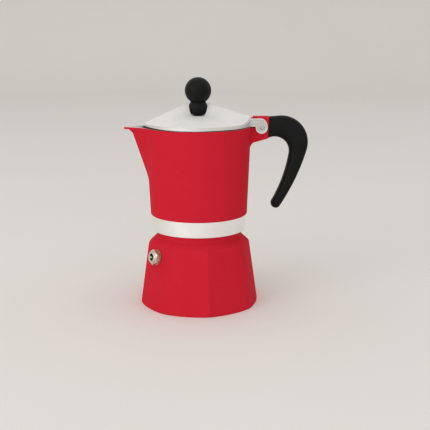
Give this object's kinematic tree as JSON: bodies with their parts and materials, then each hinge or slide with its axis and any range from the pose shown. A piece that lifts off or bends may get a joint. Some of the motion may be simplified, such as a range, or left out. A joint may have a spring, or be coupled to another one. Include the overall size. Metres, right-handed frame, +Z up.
{
  "type": "moka pot",
  "caption": "Stovetop moka coffee pot with faceted boiler, screw-on pouring jug, hinged lid, ball knob, hooked handle, safety valve, funnel and filter inside",
  "frame": {"origin": "centre of the boiler's underside, on the surface the pot stands on", "axes": "+Z up along the pot's own axis, +X from the axis toward the handle, -X toward the spout, -Y toward the viewer of the picture"},
  "size_m": [0.1347, 0.088, 0.1676],
  "materials": {
    "red_enamel": null,
    "bare_aluminium": "fine satin, bare",
    "steel": "plain bright",
    "plated_brass": "dull, turned",
    "black_plastic": "fine matte moulding",
    "seal_rubber": "soft matte, off-white"
  },
  "bodies": {
    "boiler": {"boiler": "red_enamel", "valve_body": "plated_brass", "valve_washer": "plated_brass", "valve_cap": "steel", "valve_spring": "steel"},
    "plunger": {"valve_plunger": "steel"},
    "funnel": {"funnel_cup": "bare_aluminium", "funnel_stem": "bare_aluminium", "funnel_plate": "bare_aluminium"},
    "collector": {"collector": "red_enamel", "column": "bare_aluminium", "gasket": "seal_rubber", "filter_plate": "bare_aluminium", "handle": "black_plastic", "handle_screw": "steel", "hinge_pin": "steel"},
    "lid": {"lid": "bare_aluminium", "knob": "black_plastic", "knob_screw": "steel", "knob_washer": "steel"}
  },
  "joints": [
    {"name": "top_unscrew", "type": "hinge", "parent": "boiler", "child": "funnel", "pos_m": [0, 0, 0.06], "axis": [0, 0, 1], "range_deg": [0, 720]},
    {"name": "top_rise", "type": "slide", "parent": "funnel", "child": "collector", "axis": [0, 0, 1], "range_m": [0, 0.006]},
    {"name": "lid_hinge", "type": "hinge", "parent": "collector", "child": "lid", "pos_m": [0.0462, 0, 0.1313], "axis": [0, 1, 0], "range_deg": [0, 92]},
    {"name": "valve_lift", "type": "slide", "parent": "boiler", "child": "plunger", "axis": [-0.8234, -0.551, 0.1359], "range_m": [0, 0.0012], "stiffness_N_per_m": 800, "springref_m": -0.002, "deforming": ["valve_spring"]}
  ],
  "couplings": [
    {"joint": "top_rise", "follows": "top_unscrew", "m_per_rad": 0.00047746}
  ]
}
